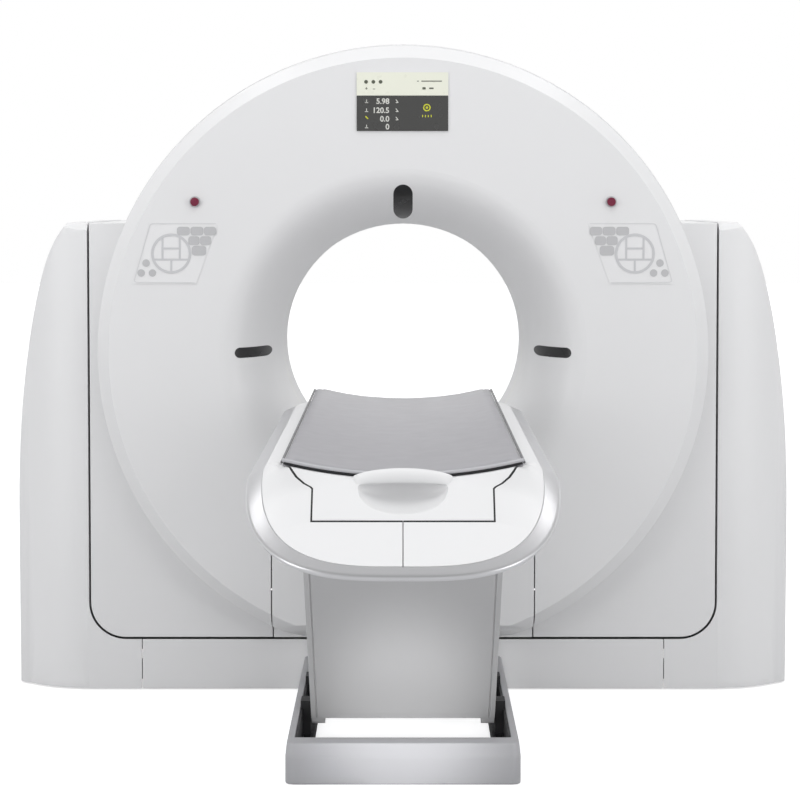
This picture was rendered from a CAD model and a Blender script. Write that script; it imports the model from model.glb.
import math
import bmesh
import bpy
import numpy as np
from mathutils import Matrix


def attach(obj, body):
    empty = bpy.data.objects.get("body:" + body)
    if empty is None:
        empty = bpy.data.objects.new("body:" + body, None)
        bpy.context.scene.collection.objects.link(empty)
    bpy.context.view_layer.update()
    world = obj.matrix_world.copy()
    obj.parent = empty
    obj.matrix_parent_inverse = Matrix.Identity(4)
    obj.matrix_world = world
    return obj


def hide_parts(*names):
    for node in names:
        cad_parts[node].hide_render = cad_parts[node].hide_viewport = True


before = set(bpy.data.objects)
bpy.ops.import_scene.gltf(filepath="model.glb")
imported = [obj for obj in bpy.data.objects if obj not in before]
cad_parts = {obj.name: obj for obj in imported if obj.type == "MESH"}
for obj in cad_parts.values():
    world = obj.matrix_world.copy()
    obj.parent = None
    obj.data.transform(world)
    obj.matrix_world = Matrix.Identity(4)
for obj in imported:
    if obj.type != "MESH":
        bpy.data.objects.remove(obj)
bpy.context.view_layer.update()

# ---------------------------------------------------------------- camera
# It stands beyond the foot of the couch, level with the top of the bore, and its small shift
# keeps the towers' sides upright as they are in the photograph.
camera = bpy.data.objects.new("camera", bpy.data.cameras.new("camera"))
bpy.context.scene.collection.objects.link(camera)
CAMERA_DIP = 2.586
camera.location = (0.0, -6.818, 1.405)
camera.rotation_euler = (math.radians(90 - CAMERA_DIP), 0.0, 0.0)
camera.data.lens = 101.77
camera.data.sensor_width = 36.0
camera.data.shift_x = -0.00375
camera.data.shift_y = -0.125
camera.data.clip_end = 60.0
bpy.context.scene.camera = camera
bpy.context.scene.view_settings.view_transform = "Standard"

# ---------------------------------------------------------------- studio
# A white studio: a pale floor, a plain white surround behind the scanner, a greyer room in
# front of it, and soft lamps above the camera and to both sides.
world = bpy.data.worlds.new("studio")
bpy.context.scene.world = world
world.use_nodes = True
room = world.node_tree
room.nodes.clear()


def ramp(tree, source, start, end, first, last):
    """A value that runs from first to last while its source runs from start to end."""
    node = tree.nodes.new("ShaderNodeMapRange")
    for label, number in (("From Min", start), ("From Max", end), ("To Min", first),
                          ("To Max", last)):
        node.inputs[label].default_value = number
    tree.links.new(source, node.inputs["Value"])
    return node.outputs["Result"]


def combine(tree, operation, first, second):
    """Two values put together by one operation."""
    node = tree.nodes.new("ShaderNodeMath")
    node.operation = operation
    tree.links.new(first, node.inputs[0])
    tree.links.new(second, node.inputs[1])
    return node.outputs["Value"]


def glow(tree, colour, strength):
    """A light of one colour whose strength is a value."""
    node = tree.nodes.new("ShaderNodeBackground")
    node.inputs["Color"].default_value = colour
    tree.links.new(strength, node.inputs["Strength"])
    return node.outputs["Background"]


toward = room.nodes.new("ShaderNodeTexCoord")
split = room.nodes.new("ShaderNodeSeparateXYZ")
room.links.new(toward.outputs["Generated"], split.inputs["Vector"])
rays = room.nodes.new("ShaderNodeLightPath").outputs
shade = combine(room, "MULTIPLY", ramp(room, split.outputs["Y"], -0.35, 0.15, 0.62, 1.0),
                ramp(room, split.outputs["Z"], 0.2, 0.5, 1.0, 0.55))
seen = glow(room, (1, 1, 1, 1), combine(room, "MAXIMUM", shade, rays["Is Camera Ray"]))
fill = glow(room, (0.985, 0.99, 1.0, 1),
            ramp(room, split.outputs["Y"], -0.2, 0.7, 0.65, 1.08))
direct = combine(room, "MAXIMUM", rays["Is Camera Ray"], rays["Is Glossy Ray"])
choose = room.nodes.new("ShaderNodeMixShader")
room.links.new(combine(room, "MAXIMUM", direct, rays["Is Transmission Ray"]),
               choose.inputs["Fac"])
room.links.new(fill, choose.inputs[1])
room.links.new(seen, choose.inputs[2])
world_out = room.nodes.new("ShaderNodeOutputWorld")
room.links.new(choose.outputs["Shader"], world_out.inputs["Surface"])

FLOOR = 30
FLOOR_GLOW = 0.72
floor_mesh = bpy.data.meshes.new("floor")
floor_mesh.from_pydata([(-FLOOR, -FLOOR, 0), (FLOOR, -FLOOR, 0), (FLOOR, FLOOR, 0),
                        (-FLOOR, FLOOR, 0)], [], [(0, 1, 2, 3)])
floor = bpy.data.objects.new("floor", floor_mesh)
bpy.context.scene.collection.objects.link(floor)
floor_finish = bpy.data.materials.new("studio_floor")
floor_finish.use_nodes = True
ground = floor_finish.node_tree
matt = ground.nodes["Principled BSDF"]
matt.inputs["Base Color"].default_value = (0.62, 0.62, 0.625, 1)
matt.inputs["Roughness"].default_value = 0.75
matt.inputs["Specular IOR Level"].default_value = 0.2
lift = ground.nodes.new("ShaderNodeEmission")
rays = ground.nodes.new("ShaderNodeLightPath").outputs
direct = combine(ground, "MAXIMUM", rays["Is Camera Ray"], rays["Is Transmission Ray"])
ground.links.new(ramp(ground, direct, 0.0, 1.0, 0.0, FLOOR_GLOW), lift.inputs["Strength"])
total = ground.nodes.new("ShaderNodeAddShader")
ground.links.new(matt.outputs["BSDF"], total.inputs[0])
ground.links.new(lift.outputs["Emission"], total.inputs[1])
ground.links.new(total.outputs["Shader"], ground.nodes["Material Output"].inputs["Surface"])
floor_mesh.materials.append(floor_finish)


def lamp(name, place, aim, size, power):
    """A square soft lamp at a place, turned so that it faces the aim point."""
    light = bpy.data.lights.new(name, "AREA")
    light.size = size
    light.energy = power
    thing = bpy.data.objects.new(name, light)
    bpy.context.scene.collection.objects.link(thing)
    ray = np.subtract(aim, place)
    thing.location = place
    thing.rotation_euler = (math.atan2(math.hypot(ray[0], ray[1]), -ray[2]), 0.0,
                            math.atan2(ray[0], -ray[1]) + math.pi)
    return thing


lamp("overhead", (0.0, -2.4, 4.6), (0.0, -0.6, 0.8), 3.2, 50).visible_glossy = False
lamp("left_soft", (-4.2, -4.6, 2.8), (0.0, -0.6, 0.9), 2.6, 47)
lamp("right_soft", (4.2, -4.6, 2.8), (0.0, -0.6, 0.9), 2.6, 47)
lamp("behind", (0.0, 4.6, 3.4), (0.0, 0.3, 1.0), 2.6, 24)
for side in (-1, 1):
    lamp("low_soft", (side * 4.6, -4.2, 0.9), (side * 0.5, -0.5, 0.5), 1.8, 22)
    lamp("nose_softbox", (side * 1.23, -0.21, 3.3), (side * 0.28, -2.4, 0.8), 0.55, 4.1)
UNDER_DIP = 12.3
under = bpy.data.objects.new("under_couch", bpy.data.lights.new("under_couch", "SPOT"))
bpy.context.scene.collection.objects.link(under)
under.location = (0.0, -4.8, 0.9)
under.rotation_euler = (math.radians(90 - UNDER_DIP), 0.0, 0.0)
under.data.spot_size = math.radians(9.5)
under.data.spot_blend = 1.0
under.data.shadow_soft_size = 0.1
under.data.energy = 560
under.visible_glossy = False

# ---------------------------------------------------------------- floor frame and tilt drive
# Welded box section and plate, powder coated grey, bolted to the floor through its foot
# plates. The two posts carry the trunnion bushes, and the gearmotor sits on the right post.
def surface_finish(name, colour, rough, metal=0.0, grain=400.0, depth=0.00001, drift=0.03,
                   coat=0.0, mottle=0.15):
    """Paint, plastic or metal: a fine noise lifts the surface, a slow one drifts its colour
    and a middle one its roughness, all by the object's own coordinates."""
    made = bpy.data.materials.new(name)
    made.use_nodes = True
    tree = made.node_tree
    shader = tree.nodes["Principled BSDF"]
    where = tree.nodes.new("ShaderNodeTexCoord")
    slow = tree.nodes.new("ShaderNodeTexNoise")
    slow.inputs["Scale"].default_value = 2.3
    slow.inputs["Detail"].default_value = 2.0
    middle = tree.nodes.new("ShaderNodeTexNoise")
    middle.inputs["Scale"].default_value = 24.0
    middle.inputs["Detail"].default_value = 4.0
    fine = tree.nodes.new("ShaderNodeTexNoise")
    fine.inputs["Scale"].default_value = grain
    fine.inputs["Detail"].default_value = 2.0
    for noise in (slow, middle, fine):
        tree.links.new(where.outputs["Object"], noise.inputs["Vector"])
    tint = tree.nodes.new("ShaderNodeMix")
    tint.data_type = "RGBA"
    tint.inputs["A"].default_value = [c * (1 - drift) for c in colour] + [1]
    tint.inputs["B"].default_value = [min(1, c * (1 + drift)) for c in colour] + [1]
    tree.links.new(slow.outputs["Fac"], tint.inputs["Factor"])
    tree.links.new(tint.outputs["Result"], shader.inputs["Base Color"])
    gloss = tree.nodes.new("ShaderNodeMapRange")
    gloss.inputs["From Min"].default_value = 0.3
    gloss.inputs["From Max"].default_value = 0.7
    gloss.inputs["To Min"].default_value = rough * (1 - mottle)
    gloss.inputs["To Max"].default_value = min(1, rough * (1 + mottle))
    tree.links.new(middle.outputs["Fac"], gloss.inputs["Value"])
    tree.links.new(gloss.outputs["Result"], shader.inputs["Roughness"])
    bump = tree.nodes.new("ShaderNodeBump")
    bump.inputs["Strength"].default_value = 0.35
    bump.inputs["Distance"].default_value = depth
    tree.links.new(fine.outputs["Fac"], bump.inputs["Height"])
    tree.links.new(bump.outputs["Normal"], shader.inputs["Normal"])
    shader.inputs["Metallic"].default_value = metal
    shader.inputs["Coat Weight"].default_value = coat
    return made


SHARP = 32


def dress(names, finish, edge=0.0, steps=2):
    """CAD nodes take a finish, and their sharp edges are rounded by the edge radius."""
    for name in names:
        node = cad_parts[name]
        node.material_slots[0].material = finish
        if edge:
            weld = node.modifiers.new("weld", "WELD")
            weld.merge_threshold = 0.00002
            flatten = node.modifiers.new("flatten", "DECIMATE")
            flatten.decimate_type = "DISSOLVE"
            flatten.angle_limit = math.radians(0.2)
            round_off = node.modifiers.new("round_off", "BEVEL")
            round_off.width = edge
            round_off.segments = steps
            round_off.limit_method = "ANGLE"
            round_off.angle_limit = math.radians(SHARP)
            round_off.harden_normals = True


steel_grey = surface_finish("powder_coat_grey", (0.33, 0.34, 0.36), 0.5, grain=700.0,
                            depth=0.00003)
turned_steel = surface_finish("turned_steel", (0.58, 0.59, 0.6), 0.3, metal=1.0)
motor_paint = surface_finish("motor_paint", (0.09, 0.11, 0.15), 0.4)
dress(["gantry_base_frame"], steel_grey, 0.002)
dress(["tilt_bearings", "tilt_drive_pinion"], turned_steel)
dress(["tilt_gearmotor"], motor_paint)

# ---------------------------------------------------------------- towers and skirts
# Pressed and moulded covers in white enamel, hung on the floor frame. Each tower has its end
# of the front skirt, and the two long skirts close the space under the gantry.
shell = surface_finish("gantry_white", (0.755, 0.755, 0.76), 0.38, drift=0.01, mottle=0.05)
dress(["right_tower_cover", "left_tower_cover"], shell, 0.004, 3)
dress(["floor_skirts"], shell, 0.003)

# ---------------------------------------------------------------- tilt frame and rotor
# Machined steel ring on trunnions with the main bearing, and the aluminium rotor disc that
# carries tube, collimator, detectors, generator and cooler round the bore.
alloy = surface_finish("rotor_alloy", (0.5, 0.51, 0.52), 0.42, metal=1.0)
belt_rubber = surface_finish("belt_rubber", (0.02, 0.02, 0.022), 0.75, grain=700.0,
                             depth=0.0001)
module_paint = surface_finish("module_paint", (0.2, 0.24, 0.3), 0.42)
dress(["tilt_frame"], steel_grey, 0.002)
dress(["bearing_outer_race", "bearing_inner_race", "motor_pulley", "tilt_sector_gear"],
      turned_steel)
dress(["slip_ring_brushes", "rotor_drive_belt"], belt_rubber)
dress(["rotor_drive_motor", "xray_tube_housing", "high_voltage_generator", "tube_cooler"],
      module_paint)
dress(["rotor_plate", "slip_ring", "beam_collimator", "detector_array", "counterweights"],
      alloy)

# ---------------------------------------------------------------- gantry covers
# Thick white mouldings round the tilt frame: the dished ring with its flare, the strip
# under the bore, the flat corners, the flanks, the arch and the back.
dress(["front_cover", "drum_cover", "rear_cover"], shell)
dress(["right_front_panel", "left_front_panel", "lower_center_cover", "right_side_cover",
       "left_side_cover"], shell, 0.0025)
film = surface_finish("scan_film", (0.75, 0.75, 0.74), 0.35)
dress(["scan_window"], film)
glass_black = surface_finish("laser_glass", (0.014, 0.014, 0.015), 0.3)
dress(["laser_windows"], glass_black)

# ---------------------------------------------------------------- display
# A colour screen under a clear front plate, in a narrow frame at the top of the ring. Its
# upper strip is cream with small grey signs, its lower part dark with light figures.
def grid_mesh(name, points, across=False, along=False):
    """A quad mesh through a grid of points, row to row and column to column. across joins
    each row's end to its start, along joins the last row to the first."""
    rows, columns = points.shape[:2]
    order = np.arange(rows * columns).reshape(rows, columns)
    if across:
        order = np.concatenate([order, order[:, :1]], axis=1)
    if along:
        order = np.concatenate([order, order[:1]], axis=0)
    quads = np.stack([order[:-1, :-1], order[1:, :-1], order[1:, 1:], order[:-1, 1:]], axis=-1)
    quads = quads.reshape(-1, 4)
    mesh = bpy.data.meshes.new(name)
    mesh.vertices.add(rows * columns)
    mesh.vertices.foreach_set("co", points.reshape(-1))
    mesh.loops.add(quads.size)
    mesh.loops.foreach_set("vertex_index", quads.reshape(-1))
    mesh.polygons.add(len(quads))
    mesh.polygons.foreach_set("loop_start", np.arange(0, quads.size, 4))
    mesh.update(calc_edges=True)
    return mesh


def close_mesh(mesh, caps=True, sharp=40):
    """Merges doubled points, fills open ends, turns faces outwards and shades smooth, with
    edges sharper than the angle kept crisp."""
    work = bmesh.new()
    work.from_mesh(mesh)
    bmesh.ops.remove_doubles(work, verts=work.verts, dist=0.00001)
    if caps:
        rim_edges = [edge for edge in work.edges if edge.is_boundary]
        if rim_edges:
            bmesh.ops.holes_fill(work, edges=rim_edges, sides=0)
    bmesh.ops.recalc_face_normals(work, faces=work.faces)
    work.to_mesh(mesh)
    work.free()
    mesh.polygons.foreach_set("use_smooth", np.ones(len(mesh.polygons), dtype=bool))
    mesh.set_sharp_from_angle(angle=math.radians(sharp))
    mesh.update()


def piece(name, mesh, finish, slot, body, *nodes):
    """A finished piece: its material, the record's slot, its body and what it stands for."""
    mesh.materials.append(finish)
    thing = bpy.data.objects.new(name, mesh)
    bpy.context.scene.collection.objects.link(thing)
    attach(thing, body)
    if nodes:
        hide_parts(*nodes)
    return thing


def round_edges(thing, width, segments=3, angle=30):
    """A bevel on edges sharper than the angle."""
    bevel = thing.modifiers.new("round_off", "BEVEL")
    bevel.width = width
    bevel.segments = segments
    bevel.limit_method = "ANGLE"
    bevel.angle_limit = math.radians(angle)
    bevel.harden_normals = True


screen_dark = surface_finish("screen_dark", (0.050, 0.050, 0.048), 0.25, coat=0.4)
screen_cream = surface_finish("screen_cream", (0.80, 0.81, 0.70), 0.3, coat=0.4)
dress(["display_bezel"], shell, 0.0015)


def flat_marks(name, outlines, front, deep=0.0004):
    """Thin raised marks facing the camera's side. Each is a band between an inner and an
    outer closed outline in X and Z, or a filled one whose inner outline is one point."""
    work = bmesh.new()
    for inner, outer in outlines:
        inner = np.broadcast_to(inner, outer.shape)
        rows = np.zeros((4, len(outer), 3))
        rows[0, :, 0::2] = outer
        rows[1, :, 0::2] = outer
        rows[2, :, 0::2] = inner
        rows[3, :, 0::2] = inner
        rows[:, :, 1] = np.array([front, front - deep, front - deep, front])[:, None]
        part = grid_mesh(name + "_part", rows, across=True, along=True)
        work.from_mesh(part)
        bpy.data.meshes.remove(part)
    bmesh.ops.remove_doubles(work, verts=work.verts, dist=0.000001)
    mesh = bpy.data.meshes.new(name)
    work.to_mesh(mesh)
    work.free()
    close_mesh(mesh, caps=False, sharp=30)
    return mesh


def round_outline(x, z, radius, points=40):
    """A circle's points in X and Z."""
    turn = np.linspace(0, 2 * math.pi, points, endpoint=False)
    return np.stack([x + radius * np.cos(turn), z + radius * np.sin(turn)], axis=-1)


def block_outline(x, z, wide, high, corner, points=6):
    """A rectangle with round corners: four quarter circles joined by straight sides."""
    turn = np.linspace(0, math.pi / 2, points)
    runs = []
    for quarter, (sx, sz) in enumerate(((1, 1), (-1, 1), (-1, -1), (1, -1))):
        arc = turn + quarter * math.pi / 2
        runs.append(np.stack([x + sx * (wide / 2 - corner) + corner * np.cos(arc),
                              z + sz * (high / 2 - corner) + corner * np.sin(arc)], axis=-1))
    return np.concatenate(runs)


def disc_mark(x, z, radius):
    """A filled round mark."""
    return (np.array([x, z]), round_outline(x, z, radius))


def ring_mark(x, z, radius, width):
    """A ring of a width about its middle radius."""
    return (round_outline(x, z, radius - width / 2, 72),
            round_outline(x, z, radius + width / 2, 72))


def bar_mark(start, end, width):
    """A straight bar with round corners from start to end."""
    start, end = np.array(start), np.array(end)
    middle = (start + end) / 2
    reach = end - start
    length = math.hypot(*reach)
    c, s = reach / length
    outline = block_outline(0, 0, length + width * 0.6, width, width * 0.3, 3)
    turned = np.stack([outline[:, 0] * c - outline[:, 1] * s,
                       outline[:, 0] * s + outline[:, 1] * c], axis=-1)
    return (middle, middle + turned)


HALF_INK = 0.0002


def figures(name, words, x, z, height, front):
    """Plain figures as a thin raised mesh that faces the camera's side."""
    curve = bpy.data.curves.new(name, "FONT")
    curve.body = words
    curve.size = height * 1.42
    curve.align_x = "RIGHT"
    curve.extrude = HALF_INK
    curve.offset = height * 0.035
    text = bpy.data.objects.new(name, curve)
    bpy.context.scene.collection.objects.link(text)
    bpy.context.view_layer.update()
    mesh = bpy.data.meshes.new_from_object(text.evaluated_get(
        bpy.context.evaluated_depsgraph_get()))
    bpy.data.objects.remove(text)
    flat = np.zeros(len(mesh.vertices) * 3)
    mesh.vertices.foreach_get("co", flat)
    flat = flat.reshape(-1, 3)
    placed = np.stack([flat[:, 0] + x, front - HALF_INK - flat[:, 2], flat[:, 1] + z], axis=-1)
    mesh.vertices.foreach_set("co", placed.reshape(-1))
    mesh.materials.clear()
    close_mesh(mesh, caps=False, sharp=30)
    return mesh


GLASS = -0.5036
GLASS_THICK = 0.001
SCREEN = GLASS - GLASS_THICK
for stem, finish, slot_name, node, z, high in (
        ("display_front", screen_dark, "display_dark", "display_screen", 1.6402, 0.0986),
        ("display_header", screen_cream, "display_light", "display_status_strip", 1.7218,
         0.0642)):
    plate = [(np.array([-0.0015, z]), block_outline(-0.0015, z, 0.2550, high, 0.002))]
    piece(stem, flat_marks(stem, plate, GLASS, GLASS_THICK), finish, slot_name,
          "tilting_gantry", node)
ink_light = surface_finish("screen_figures", (0.62, 0.62, 0.58), 0.4)
ink_grey = surface_finish("screen_signs", (0.10, 0.11, 0.08), 0.4)
ink_yellow = surface_finish("screen_yellow", (0.55, 0.56, 0.03), 0.4)
for row, (words, height) in enumerate((("5.98", 1.6667), ("120.5", 1.6414), ("0.0", 1.6176),
                                       ("0", 1.5957))):
    digits = figures(f"display_figures_{row}", words, -0.038, height, 0.015, SCREEN)
    piece(f"display_figures_{row}", digits, ink_light, "display_light", "tilting_gantry")
side_marks = []
for z in (1.6739, 1.6489, 1.6039):
    side_marks.append(bar_mark((-0.1055, z - 0.004), (-0.0975, z - 0.004), 0.0022))
    side_marks.append(bar_mark((-0.1015, z - 0.004), (-0.1015, z + 0.004), 0.0022))
for z in (1.6739, 1.6489, 1.6259):
    side_marks.append(bar_mark((-0.0195, z + 0.004), (-0.0135, z - 0.004), 0.0022))
    side_marks.append(bar_mark((-0.0195, z - 0.004), (-0.0155, z - 0.004), 0.0022))
piece("display_side_marks", flat_marks("display_side_marks", side_marks, SCREEN), ink_light,
      "display_light", "tilting_gantry")
yellow = [ring_mark(0.0665, 1.656, 0.0088, 0.0034), disc_mark(0.0665, 1.656, 0.0036)]
yellow += [bar_mark((x, 1.630), (x, 1.635), 0.0026) for x in (0.0545, 0.0625, 0.0705, 0.0785)]
yellow += [bar_mark((-0.104, 1.6315), (-0.098, 1.6255), 0.0035)]
piece("display_indicator", flat_marks("display_indicator", yellow, SCREEN), ink_yellow,
      "display_light", "tilting_gantry")
signs = [disc_mark(x, 1.7275, 0.0052) for x in (-0.1028, -0.0825, -0.0625)]
signs += [bar_mark((-0.105, 1.7085), (-0.099, 1.7085), 0.0016),
          bar_mark((-0.102, 1.7065), (-0.102, 1.7125), 0.0016),
          bar_mark((-0.0835, 1.7075), (-0.078, 1.7075), 0.0016),
          bar_mark((0.0395, 1.7295), (0.0435, 1.7295), 0.0022),
          bar_mark((0.0515, 1.7295), (0.1075, 1.7295), 0.0026),
          (np.array([0.0585, 1.7095]), block_outline(0.0585, 1.7095, 0.009, 0.0065, 0.0015)),
          bar_mark((0.074, 1.7095), (0.084, 1.7095), 0.0042)]
piece("display_signs", flat_marks("display_signs", signs, SCREEN), ink_grey, "display_dark",
      "tilting_gantry")

# ---------------------------------------------------------------- stop buttons and keypads
# Red plastic stop buttons, each in a thin collar pressed into the ring, and under each a flush
# membrane keypad glued in a recess: a printed border, a dial, six keys and three spots.
stop_red = surface_finish("stop_red", (0.17, 0.012, 0.04), 0.3)
dress(["right_emergency_stop", "left_emergency_stop"], stop_red, 0.0015)
membrane = surface_finish("keypad_membrane", (0.77, 0.77, 0.775), 0.36)
dress(["right_control_panel", "left_control_panel"], membrane)
print_grey = surface_finish("keypad_print", (0.57, 0.57, 0.585), 0.4)
key_grey = surface_finish("keypad_keys", (0.50, 0.50, 0.51), 0.45)
print_faint = surface_finish("keypad_border", (0.66, 0.66, 0.67), 0.4)
KEYPAD = -0.5020
DIAL_BAR = 0.0056


def cut_corners(points, rounds=3):
    """A smoother line through a coarse one: each round cuts every corner at a quarter of the
    way along both its sides and keeps the two ends."""
    for _ in range(rounds):
        near = points[:-1] * 0.75 + points[1:] * 0.25
        far = points[:-1] * 0.25 + points[1:] * 0.75
        pairs = np.stack([near, far], axis=1).reshape(-1, points.shape[1])
        points = np.concatenate([points[:1], pairs, points[-1:]])
    return points


def ribbon(name, route, width, front, deep=0.0004):
    """A flat band along a route in X and Z: at each point a thin rectangle square to it."""
    ahead = np.gradient(route, axis=0)
    ahead /= np.linalg.norm(ahead, axis=1, keepdims=True)
    aside = np.stack([-ahead[:, 1], ahead[:, 0]], axis=-1) * width / 2
    rows = np.zeros((len(route), 4, 3))
    rows[:, :2, 0::2] = (route - aside)[:, None]
    rows[:, 2:, 0::2] = (route + aside)[:, None]
    rows[:, :, 1] = [front, front - deep, front - deep, front]
    mesh = grid_mesh(name, rows, across=True)
    close_mesh(mesh, sharp=30)
    return mesh


for side, stem in ((1, "right"), (-1, "left")):
    collar = [ring_mark(side * 0.581, 1.394, 0.0145, 0.003)]
    piece(stem + "_stop_collar", flat_marks(stem + "_stop_collar", collar, -0.5, 0.0015),
          print_grey, "shell", "tilting_gantry")
    x, z, r = side * 0.6475, 1.2495, 0.0525
    low = z - r * 0.32
    across = [bar_mark((x - r * 0.46, z + r * 0.27), (x + r * 0.46, z + r * 0.27), DIAL_BAR),
              bar_mark((x - r * 0.92, low), (x + r * 0.92, low), DIAL_BAR)]
    upright = [bar_mark((x + hand * r * 0.46, z + r * 0.86), (x + hand * r * 0.46, low),
                        DIAL_BAR) for hand in (-1, 1)]
    upright += [bar_mark((x, low), (x, z - r * 0.97), DIAL_BAR)]
    for tag, marks, deep in (("ring", [ring_mark(x, z, r, 0.0072)], 0.0006),
                             ("bars", across, 0.0002), ("rails", upright, 0.0004)):
        name = f"{stem}_keypad_{tag}"
        piece(name, flat_marks(name, marks, KEYPAD, deep), print_grey, "keypad",
              "tilting_gantry")
    keys = [(0.6131, 1.3124, 0.036, 0.024), (0.5753, 1.3124, 0.036, 0.024),
            (0.5388, 1.3124, 0.034, 0.024), (0.5837, 1.2857, 0.031, 0.025),
            (0.5514, 1.2857, 0.031, 0.025), (0.5696, 1.2576, 0.040, 0.027)]
    pads = [(np.array([side * kx, kz]), block_outline(side * kx, kz, wide, tall, 0.008))
            for kx, kz, wide, tall in keys]
    pads += [disc_mark(side * kx, kz, 0.0104)
             for kx, kz in ((0.7178, 1.2231), (0.7315, 1.1953), (0.7001, 1.1953))]
    piece(stem + "_keypad_keys", flat_marks(stem + "_keypad_keys", pads, KEYPAD, 0.0006),
          key_grey, "keypad", "tilting_gantry")
    border = np.array([(0.522, 1.3335), (0.690, 1.3335), (0.7055, 1.3325), (0.710, 1.317),
                       (0.748, 1.185), (0.752, 1.170), (0.735, 1.169), (0.582, 1.168)])
    piece(stem + "_keypad_border", ribbon(stem + "_keypad_border",
                                          cut_corners(border * [side, 1]), 0.0026, KEYPAD),
          print_faint, "keypad", "tilting_gantry")

# ---------------------------------------------------------------- couch base
# A floor frame of thick silver-grey moulded walls with rounded corners, round a black inside.
# A low bar at its back is bolted to the floor, and a tongue locks it to the gantry.
base_grey = surface_finish("base_paint", (0.385, 0.385, 0.40), 0.36, drift=0.01, mottle=0.05)
WALL_TOP = 0.0995
GROUND = 0.0005


def base_plan(half, front, back, radius, turns=9):
    """One level ring in plan: a rectangle whose four corners are quarter circles."""
    corner = np.linspace(0, math.pi / 2, turns)
    middles = ((half - radius, back - radius, 0), (radius - half, back - radius, 1),
               (radius - half, front + radius, 2), (half - radius, front + radius, 3))
    return np.concatenate([np.stack([x + radius * np.cos(corner + quarter * math.pi / 2),
                                     y + radius * np.sin(corner + quarter * math.pi / 2)],
                                    axis=-1) for x, y, quarter in middles])


def level(plan, height):
    """A ring in plan lifted to one height."""
    return np.column_stack([plan, np.full(len(plan), height)])


def round_corners(lines, radii, steps=6):
    """The same closed profile with round corners: each corner becomes a curve that leaves
    its two sides at the radius, or at 45 hundredths of a shorter side, and is pulled to it."""
    before, after = np.roll(lines, 1, axis=1), np.roll(lines, -1, axis=1)
    share = np.linspace(0, 1, steps)[:, None]
    parts = []
    for index, radius in enumerate(radii):
        spot = lines[:, index]
        ends = []
        for other in (before[:, index], after[:, index]):
            side = other - spot
            length = np.linalg.norm(side, axis=1, keepdims=True)
            ends.append(spot + side * np.minimum(radius / length, 0.45))
        first, spot, last = ends[0][:, None], spot[:, None], ends[1][:, None]
        parts.append(first * (1 - share) ** 2 + spot * 2 * share * (1 - share)
                     + last * share ** 2)
    return np.concatenate(parts, axis=1)


outside = base_plan(0.283, -1.460, -0.412, 0.022)
inside = base_plan(0.2625, -1.391, -0.424, 0.006)
wall_lines = np.stack([level(outside, GROUND), level(outside, 0.0665),
                       level(base_plan(0.2795, -1.4515, -0.4125, 0.020), WALL_TOP),
                       level(inside, WALL_TOP), level(inside, GROUND)], axis=1)
wall_mesh = grid_mesh("couch_base_walls",
                      round_corners(wall_lines, (0.005, 0.004, 0.004, 0.003, 0.001)),
                      across=True, along=True)
close_mesh(wall_mesh, caps=False)
piece("couch_base_walls", wall_mesh, base_grey, "shell", "stand", "couch_base_frame")


def plate(name, plan, low, high, finish, slot_name):
    """A flat plate: one plan lifted to a low and a high level, closed below and above."""
    mesh = grid_mesh(name, np.stack([level(plan, low), level(plan, high)]), across=True)
    close_mesh(mesh)
    return piece(name, mesh, finish, slot_name, "stand")


BAR_TOP = 0.036
plate("couch_rear_bar", base_plan(0.2625, -0.690, -0.600, 0.003), GROUND, BAR_TOP, base_grey,
      "shell")
plate("couch_docking_tongue", base_plan(0.060, -0.601, -0.260, 0.002), GROUND, 0.0035,
      base_grey, "shell")
for side, stem in ((1, "right"), (-1, "left")):
    bolt = base_plan(0.014, -0.659, -0.631, 0.0139) + [side * 0.230, 0]
    plate(stem + "_anchor_bolt", bolt, BAR_TOP, 0.045, turned_steel, "bright_steel")
track_black = surface_finish("track_black", (0.012, 0.012, 0.013), 0.55)
dress(["base_tracks"], track_black)

# ---------------------------------------------------------------- lift
# Two pairs of welded steel arms on turned shafts make a parallelogram that a geared motor
# swings. The front pair is enamelled and wears a painted sheet panel.
arm_grey = surface_finish("arm_paint", (0.53, 0.53, 0.535), 0.4, drift=0.01)
dress(["lower_pivot_shafts", "upper_pivot_shafts", "lift_drive_pinion"], turned_steel)
dress(["front_lift_arm"], arm_grey, 0.002)
dress(["rear_lift_arm", "couch_frame", "couch_cross_plates"], steel_grey, 0.0015)
dress(["lift_arm_cover"], arm_grey, 0.0015)
dress(["lift_gearmotor"], motor_paint)
dress(["guide_carriages", "cradle_drive_roller"], track_black)

# ---------------------------------------------------------------- couch rim
# The silver band round the couch top: an aluminium-painted moulding, wide and sloping above,
# narrow and upright below, that runs along both sides and round the nose.
COUCH_BACK = -0.770
NOSE_START = -2.150
NOSE_POWER = 2 / 3.2
SHOULDER = -2.200


def couch_line(half, nose, edge, turns=96, straight=60):
    """One level line round the couch. In plan it is straight sides and a superellipse nose
    of power 3.2; its height falls from high to low between start and end by a power of how
    far along it is."""
    high, low, start, end, power = edge
    turn = np.linspace(0, math.pi, turns)
    c, s = np.cos(turn), np.sin(turn)
    x = np.sign(c) * np.abs(c) ** NOSE_POWER * half
    y = NOSE_START + s ** NOSE_POWER * (nose - NOSE_START)
    back = np.linspace(COUCH_BACK, NOSE_START, straight, endpoint=False)
    x = np.concatenate([np.full(straight, half), x, np.full(straight, -half)])
    y = np.concatenate([back, y, back[::-1]])
    share = np.clip((start - y) / (start - end), 0, 1)
    return np.stack([x, y, high - (high - low) * share ** power], axis=-1)


def dropped(edge, drop):
    """The same falling line, lower by a drop."""
    return (edge[0] - drop, edge[1] - drop) + edge[2:]


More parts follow.
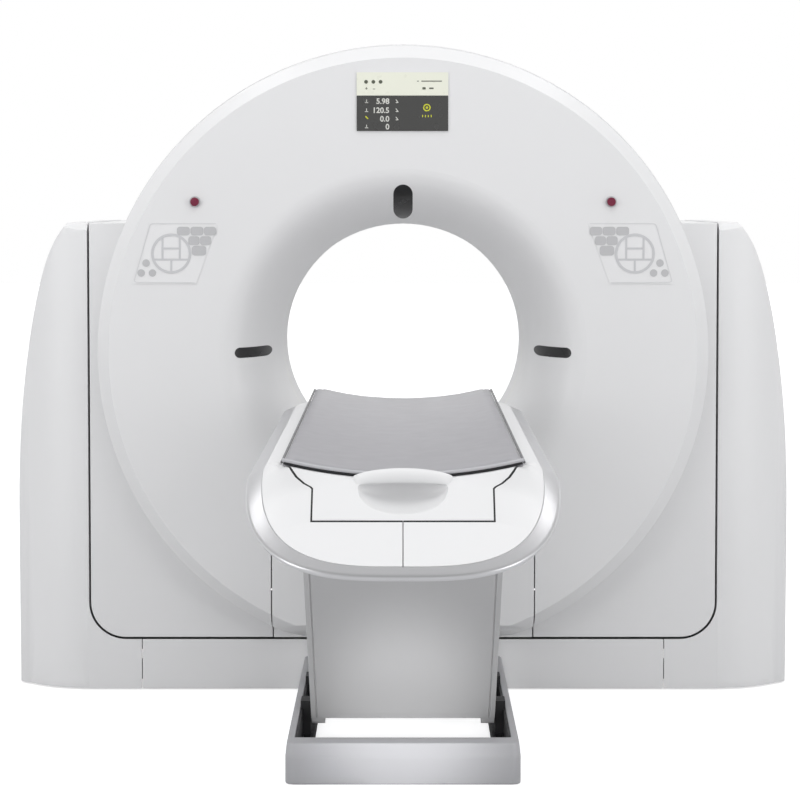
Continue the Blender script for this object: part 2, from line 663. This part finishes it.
DECK = (0.848, 0.710, SHOULDER, -2.575, 1.21)
WIDE = (0.832, 0.694, SHOULDER, -2.600, 1.25)
FOOT = (0.792, 0.680, -2.270, -2.600, 1.35)
rim_lines = np.stack([
    couch_line(0.321, -2.600, WIDE),
    couch_line(0.285, -2.575, DECK),
    couch_line(0.285, -2.575, dropped(DECK, 0.014)),
    couch_line(0.307, -2.586, dropped(WIDE, 0.010)),
    couch_line(0.307, -2.586, FOOT),
    couch_line(0.316, -2.594, FOOT),
], axis=1)
rim_mesh = grid_mesh("couch_rim_band",
                     round_corners(rim_lines, (0.009, 0.004, 0.001, 0.001, 0.001, 0.006)),
                     across=True)
close_mesh(rim_mesh)
silver = surface_finish("silver_paint", (0.69, 0.69, 0.705), 0.34, metal=0.85, drift=0.01,
                        depth=0.0000004, mottle=0.04)
piece("couch_rim_band", rim_mesh, silver, "silver_paint", "couch_top", "couch_rim")

# ---------------------------------------------------------------- deck and pan
# Two white mouldings meet along the middle of the nose. Each rises from the silver rim to
# the cradle and its end cap, turns down beside them, and the pan closes the couch below.
CAP_STOPS = np.array([-2.302, -2.315, -2.320, -2.3294, -2.339, -2.3443, -2.3480, -2.424])
CAP_HALF = np.array([0.2262, 0.2235, 0.2191, 0.2099, 0.1952, 0.1825, 0.1785, 0.1775])
PAD_HALF, PAD_SAG = 0.2456, 0.030
SEAL_GAP, SEAL_START, MIDDLE_GAP = 0.0036, 78, 0.0009
CRADLE_SIDE, DECK_TURN_DOWN = 0.241, 0.012


def deck_inner(gap):
    """The deck's inner edge from the back, beside the cradle, round the end cap at a gap, to
    the middle, with its height."""
    aside = gap * np.array([1.0, 1.1, 1.2, 1.2, 1.1, 1.0, 1.0, 1.0])
    ahead = gap * np.array([0.2, 0.6, 1.1, 1.2, 1.2, 1.0, 0.5, 1.3])
    cap = np.stack([CAP_HALF + aside, CAP_STOPS - ahead,
                    np.interp(-CAP_STOPS, (2.315, 2.346, 2.424), (0.8669, 0.8306, 0.776))],
                   axis=-1)
    cap[:, 2] -= gap * np.array([0.4, 0.4, 0.4, 0.4, 0.4, 0.4, 0.4, 0.92])
    beside = CRADLE_SIDE + gap
    side = np.array([[beside, COUCH_BACK, 0.860], [beside, SHOULDER, 0.860],
                     [beside, -2.288, 0.864]])
    front = np.array([[MIDDLE_GAP, -2.424 - gap * 1.3, 0.776 - gap * 0.92]])
    keys = np.array([0, 76, 82, 84, 86, 88, 91, 94, 97, 100, 112, 159])
    corners = np.concatenate([side, cap, front])
    rows = np.arange(160)
    return np.stack([np.interp(rows, keys, corners[:, k]) for k in range(3)], axis=-1)


def deck_half(side):
    """One half of the deck. Rows run from the back round the nose to the middle, columns
    from the cradle's edge to the rim. Height is the rim's line plus a rise that falls off
    away from the cradle's edge, and a last column turns down beside the cradle."""
    outer = couch_line(0.2862, -2.5756, DECK, turns=161, straight=80)[:160]
    inner = deck_inner(SEAL_GAP)
    share = np.linspace(0, 1, 17)
    x = inner[:, :1] + (outer[:, :1] - inner[:, :1]) * share
    y = inner[:, 1:2] + (outer[:, 1:2] - inner[:, 1:2]) * share
    high, low, start, end, power = DECK
    fall = high - (high - low) * np.clip((start - y) / (start - end), 0, 1) ** power
    rise = inner[:, 2:] - fall[:, :1]
    height = fall + rise * (1 - share ** 1.5)
    x[-1] = MIDDLE_GAP
    sheet = np.stack([x * side, y, height], axis=-1)
    wall = sheet[:, :1] - [0, 0, DECK_TURN_DOWN]
    return np.concatenate([wall, sheet], axis=1)


for side, stem in ((1, "right"), (-1, "left")):
    deck_mesh = grid_mesh(stem + "_deck", deck_half(side))
    close_mesh(deck_mesh, caps=False, sharp=45)
    normals_up = np.zeros(len(deck_mesh.polygons) * 3)
    deck_mesh.polygons.foreach_get("normal", normals_up)
    if normals_up[2::3].sum() < 0:
        deck_mesh.flip_normals()
    deck = piece(stem + "_deck", deck_mesh, shell, "shell", "couch_top", stem + "_top_cover")
    thick = deck.modifiers.new("wall", "SOLIDIFY")
    thick.thickness = 0.004
    thick.offset = -1
    round_edges(deck, 0.0015, 2, 50)
    lips, back = deck_inner(SEAL_GAP)[SEAL_START:], deck_inner(0.0)[SEAL_START:]
    top, foot = [0, 0, 0.0007], [0, 0, DECK_TURN_DOWN]
    rows = np.stack([lips - top, back - top, back - foot, lips - foot], axis=1) * [side, 1, 1]
    seal_mesh = grid_mesh(stem + "_deck_seal", rows, across=True)
    close_mesh(seal_mesh)
    piece(stem + "_deck_seal", seal_mesh, track_black, "black_plastic", "couch_top")
dress(["couch_pan"], shell)

# ---------------------------------------------------------------- cradle
# A carbon board with two rails slides over the couch. A vinyl pad lies in its dish, and its
# white end cap has a scoop to pull by under a raised lip.
carbon = surface_finish("carbon_board", (0.03, 0.03, 0.032), 0.3, coat=0.5)
dress(["cradle_board"], carbon)
CAP_FOOT = 0.768
SCOOP = np.array([
    (-2.302, 0.842), (-2.303, 0.852), (-2.307, 0.862), (-2.317, 0.8665), (-2.329, 0.862),
    (-2.3365, 0.853), (-2.3375, 0.842), (-2.334, 0.837), (-2.325, 0.837), (-2.307, 0.833),
    (-2.303, 0.817), (-2.308, 0.803), (-2.334, 0.7945), (-2.364, 0.788), (-2.392, 0.7835),
    (-2.403, 0.7855), (-2.410, 0.7862), (-2.4165, 0.782), (-2.424, 0.776)])


def cap_surface(across, along):
    """The end cap's top. Its plain form runs down straight lines from the dished end at the
    pad to the level front. In the middle a profile takes over that rises into a lip, turns
    under it and runs out through the scoop, by a share that follows an ellipse across."""
    stops = (2.302, 2.315, 2.346, 2.424)
    y = np.interp(along, (0, 0.333, 0.5, 0.88, 1), (-2.302, -2.334, -2.342, -2.352, -2.424))
    half = np.interp(-y, -CAP_STOPS, CAP_HALF)
    x = across * half
    crown = np.interp(-y, stops, (0.872, 0.872, 0.8325, 0.776))
    sag = np.interp(-y, stops, (PAD_SAG, PAD_SAG, 0.004, 0.0))
    z = crown - sag * (1 - (x / PAD_HALF) ** 2)
    profile = cut_corners(SCOOP)
    run = np.linspace(0, 1, len(profile))
    reach = np.interp(along, (0, 0.2, 0.4), (0.100, 0.100, 0.0885))
    take = np.sqrt(np.clip(1 - (x / reach) ** 2, 0, 1))
    y = y + (np.interp(along, run, profile[:, 0]) - y) * take
    z = z + (np.interp(along, run, profile[:, 1]) - z) * take
    return np.stack([x, y, z], axis=-1)


across, along = np.meshgrid(np.linspace(-1, 1, 301), np.linspace(0, 1, 141))
cap_mesh = grid_mesh("cradle_cap", cap_surface(across, along))
cap_work = bmesh.new()
cap_work.from_mesh(cap_mesh)
open_edges = [edge for edge in cap_work.edges if edge.is_boundary]
walls = bmesh.ops.extrude_edge_only(cap_work, edges=open_edges)
for item in walls["geom"]:
    if isinstance(item, bmesh.types.BMVert):
        item.co.z = CAP_FOOT
cap_work.to_mesh(cap_mesh)
cap_work.free()
close_mesh(cap_mesh, sharp=75)
cap = piece("cradle_cap", cap_mesh, shell, "shell", "cradle", "cradle_end_cap")
round_edges(cap, 0.002, 2, 60)

# ---------------------------------------------------------------- mattress
# Foam in grey vinyl that follows the board's dish and rolls over at both sides, with a welt
# and a black seam sewn along its front and a dark strip of edging down each side.
vinyl = surface_finish("pad_vinyl", (0.315, 0.31, 0.33), 0.40, grain=220.0, depth=0.000006,
                       drift=0.015, mottle=0.06)
welt_vinyl = surface_finish("welt_vinyl", (0.50, 0.50, 0.52), 0.4)
edging_black = surface_finish("pad_edging", (0.015, 0.015, 0.017), 0.5)
PAD_FRONT, PAD_BACK = -2.3015, -0.5765
SWELL = 0.0025
PAD_SHOULDER, PAD_END = 0.0125, 0.006


def pad_lines(shrink):
    """The pad as rings of points round its section, from front to back. The section is a
    dished top and foot joined by round shoulders; at both ends it closes in as a quarter
    circle does."""
    turn = np.linspace(-1, 1, 49)
    top_half, foot_half = 0.230 + shrink * 0.8, 0.2395 + shrink * 0.8
    upper = np.stack([turn * top_half, 0.8835 - shrink - PAD_SAG * (1 - turn ** 2)], axis=-1)
    bend = np.linspace(0, math.pi / 2, 7)[1:]
    right = np.stack([top_half + PAD_SHOULDER * np.sin(bend),
                      0.871 - shrink + PAD_SHOULDER * np.cos(bend)], axis=-1)
    lower = np.stack([turn[::-1] * foot_half,
                      0.8545 + shrink * 0.5 - PAD_SAG * (1 - turn[::-1] ** 2)], axis=-1)
    left = right[::-1] * [-1, 1]
    section = np.concatenate([upper[1:-1], right, lower, left])
    middle = 0.869 - PAD_SAG * (1 - np.clip(section[:, 0] / foot_half, -1, 1) ** 2)
    bow = PAD_END * (1 - np.cos(np.linspace(0, math.pi / 2, 6)))
    start, stop = PAD_FRONT + shrink, PAD_BACK - shrink
    y = np.concatenate([start + bow, np.linspace(start + 0.02, stop - 0.02, 120),
                        stop - bow[::-1]])
    near = np.minimum(y - start, stop - y)
    full = np.sqrt(1 - (1 - np.clip(near / PAD_END, 0, 1)) ** 2)
    full = 0.72 + 0.28 * full
    return np.stack(np.broadcast_arrays(section[:, 0], y[:, None],
                                        middle + (section[:, 1] - middle) * full[:, None]),
                    axis=-1)


pad_mesh = grid_mesh("cradle_mattress", pad_lines(SWELL), across=True)
close_mesh(pad_mesh, sharp=70)
pad = bpy.data.objects.new("cradle_mattress", pad_mesh)
bpy.context.scene.collection.objects.link(pad)
remesh = pad.modifiers.new("remesh", "REMESH")
remesh.mode = "VOXEL"
remesh.voxel_size = 0.006
remesh.use_smooth_shade = True
pad_mesh = bpy.data.meshes.new_from_object(pad.evaluated_get(
    bpy.context.evaluated_depsgraph_get()))
pad.modifiers.clear()
pad.data = pad_mesh
pad_mesh.name = "cradle_mattress"
before = np.zeros(len(pad_mesh.vertices) * 3)
pad_mesh.vertices.foreach_get("co", before)
cloth = pad.modifiers.new("cloth", "CLOTH")
cloth.settings.use_pressure = True
cloth.settings.uniform_pressure_force = 4.0
cloth.settings.effector_weights.gravity = 0.0
cloth.settings.tension_stiffness = 30.0
cloth.settings.compression_stiffness = 30.0
cloth.settings.quality = 4
cloth.point_cache.frame_start = 1
cloth.point_cache.frame_end = 20
for step in range(1, 21):
    bpy.context.scene.frame_set(step)
swollen = bpy.data.meshes.new_from_object(pad.evaluated_get(
    bpy.context.evaluated_depsgraph_get()))
after = np.zeros(len(swollen.vertices) * 3)
swollen.vertices.foreach_get("co", after)
pad.modifiers.clear()
bpy.context.scene.frame_set(1)
move = (after - before).reshape(-1, 3)
reach = np.linalg.norm(move, axis=1, keepdims=True)
print("pad moved", reach.mean(), reach.max())
move *= np.minimum(1, SWELL / np.maximum(reach, 1e-9))
pad_mesh.vertices.foreach_set("co", (before.reshape(-1, 3) + move).reshape(-1))
bpy.data.meshes.remove(swollen)
close_mesh(pad_mesh, caps=False, sharp=80)
pad_mesh.materials.clear()
pad_mesh.materials.append(vinyl)
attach(pad, "cradle")
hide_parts("cradle_pad")


def tube_mesh(name, route, radius, sides=12):
    """A round tube along a route: at each point a circle square to the way it runs, with a
    flat cap at both ends."""
    ahead = np.gradient(route, axis=0)
    ahead /= np.linalg.norm(ahead, axis=1, keepdims=True)
    across = np.cross(ahead, [0.0, 0.0, 1.0])
    across /= np.linalg.norm(across, axis=1, keepdims=True)
    rise = np.cross(across, ahead)
    turn = np.linspace(0, 2 * math.pi, sides, endpoint=False)
    ring = (across[:, None] * np.cos(turn)[:, None] + rise[:, None] * np.sin(turn)[:, None])
    mesh = grid_mesh(name, route[:, None] + ring * radius, across=True)
    close_mesh(mesh)
    return mesh


swing = np.linspace(-1, 1, 81)
for name, half, y, crown, radius, finish, slot_name in (
        ("mattress_welt", 0.2425, -2.3040, 0.8815, 0.0036, welt_vinyl, "pad_vinyl"),
        ("mattress_seam", 0.2400, -2.3030, 0.8755, 0.0028, edging_black, "black_plastic")):
    route = np.stack([swing * half, np.full(81, y),
                      crown - PAD_SAG * (1 - (swing * half / PAD_HALF) ** 2)], axis=-1)
    piece(name, tube_mesh(name, route, radius), finish, slot_name, "cradle")
edging_grey = surface_finish("pad_piping", (0.15, 0.15, 0.155), 0.45)
for side, stem in ((1, "right"), (-1, "left")):
    run = np.stack([np.full(120, side * 0.2432),
                    np.linspace(PAD_FRONT + 0.001, PAD_BACK - 0.012, 120),
                    np.full(120, 0.8755)], axis=-1)
    piece(stem + "_mattress_edging", tube_mesh(stem + "_mattress_edging", run, 0.0028),
          edging_grey, "black_plastic", "cradle")
